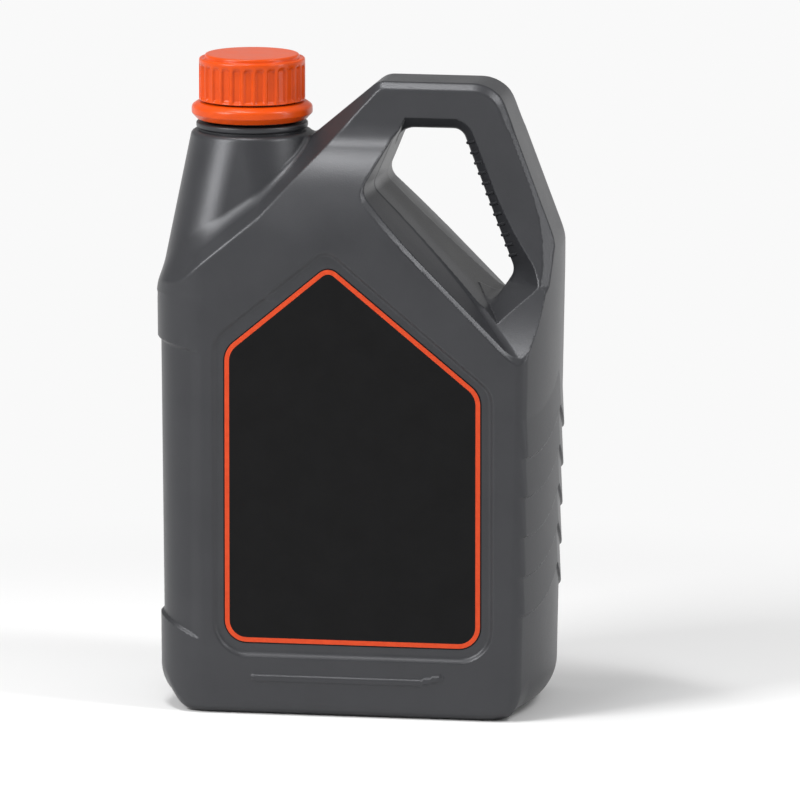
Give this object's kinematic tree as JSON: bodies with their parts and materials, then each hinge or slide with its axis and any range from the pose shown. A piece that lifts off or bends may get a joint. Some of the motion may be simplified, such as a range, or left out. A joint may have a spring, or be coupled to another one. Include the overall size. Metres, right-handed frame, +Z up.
{
  "type": "motor oil bottle",
  "caption": "Blow-moulded oil can with a moulded-in side handle, a ribbed screw cap on an offset neck, a tamper band and bordered labels on both faces.",
  "frame": {"origin": "middle of the base, on the surface that the can stands on", "axes": "+Z up, front label towards -Y, handle towards +X, neck towards -X"},
  "size_m": [0.1909, 0.1016, 0.3102],
  "materials": {
    "can_plastic": "satin, faintly metallic graphite grey HDPE with a fine moulded texture",
    "cap_plastic": "satin orange polypropylene",
    "liner_foam": "white foamed polyethylene",
    "label_film": "matt black film with an orange border line"
  },
  "bodies": {
    "can": {"bottle": "can_plastic", "tamper_band": "cap_plastic", "front_label": "label_film", "back_label": "label_film"},
    "liner": {"cap_liner": "liner_foam"},
    "cap": {"screw_cap": "cap_plastic"}
  },
  "joints": [
    {"name": "cap_lift", "type": "slide", "parent": "can", "child": "liner", "axis": [0, 0, 1], "range_m": [0, 0.03]},
    {"name": "cap_turn", "type": "hinge", "parent": "liner", "child": "cap", "pos_m": [-0.0539, 0, 0.29], "axis": [0, 0, 1], "range_deg": [0, 2160]}
  ],
  "couplings": [
    {"joint": "cap_turn", "follows": "cap_lift", "rad_per_m": 1256.6}
  ]
}
